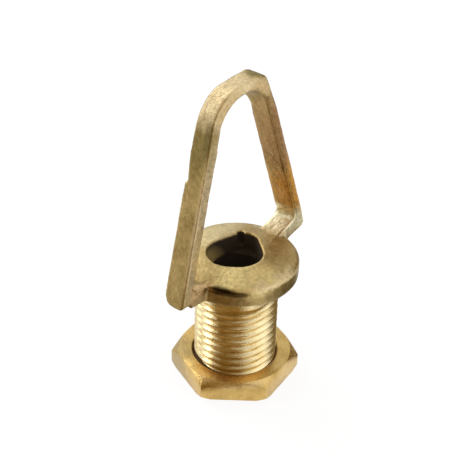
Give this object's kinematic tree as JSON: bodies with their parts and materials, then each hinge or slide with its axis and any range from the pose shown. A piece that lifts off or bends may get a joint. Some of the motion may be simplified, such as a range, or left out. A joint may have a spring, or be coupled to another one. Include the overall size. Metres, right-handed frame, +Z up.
{
  "type": "threaded loop hook",
  "caption": "Cast brass lamp hook: rounded triangular strip loop on a round flange with a wire hole, hollow threaded stem below, thin hexagon lock nut at its foot.",
  "frame": {"origin": "centre of the stem's lower end, level with the underside of the nut", "axes": "+Z up along the stem towards the loop; the loop stands in the X and Z plane, and leans towards -X"},
  "size_m": [0.0221, 0.0146, 0.0397],
  "materials": {
    "cast_brass": "as cast with a machined stem",
    "nut_brass": "machined"
  },
  "bodies": {
    "hook": {"hook_casting": "cast_brass"},
    "nut": {"hex_nut": "nut_brass"}
  },
  "joints": [
    {"name": "nut_travel", "type": "slide", "parent": "hook", "child": "nut", "axis": [0, 0, 1], "range_m": [-0.004, 0.009]}
  ]
}
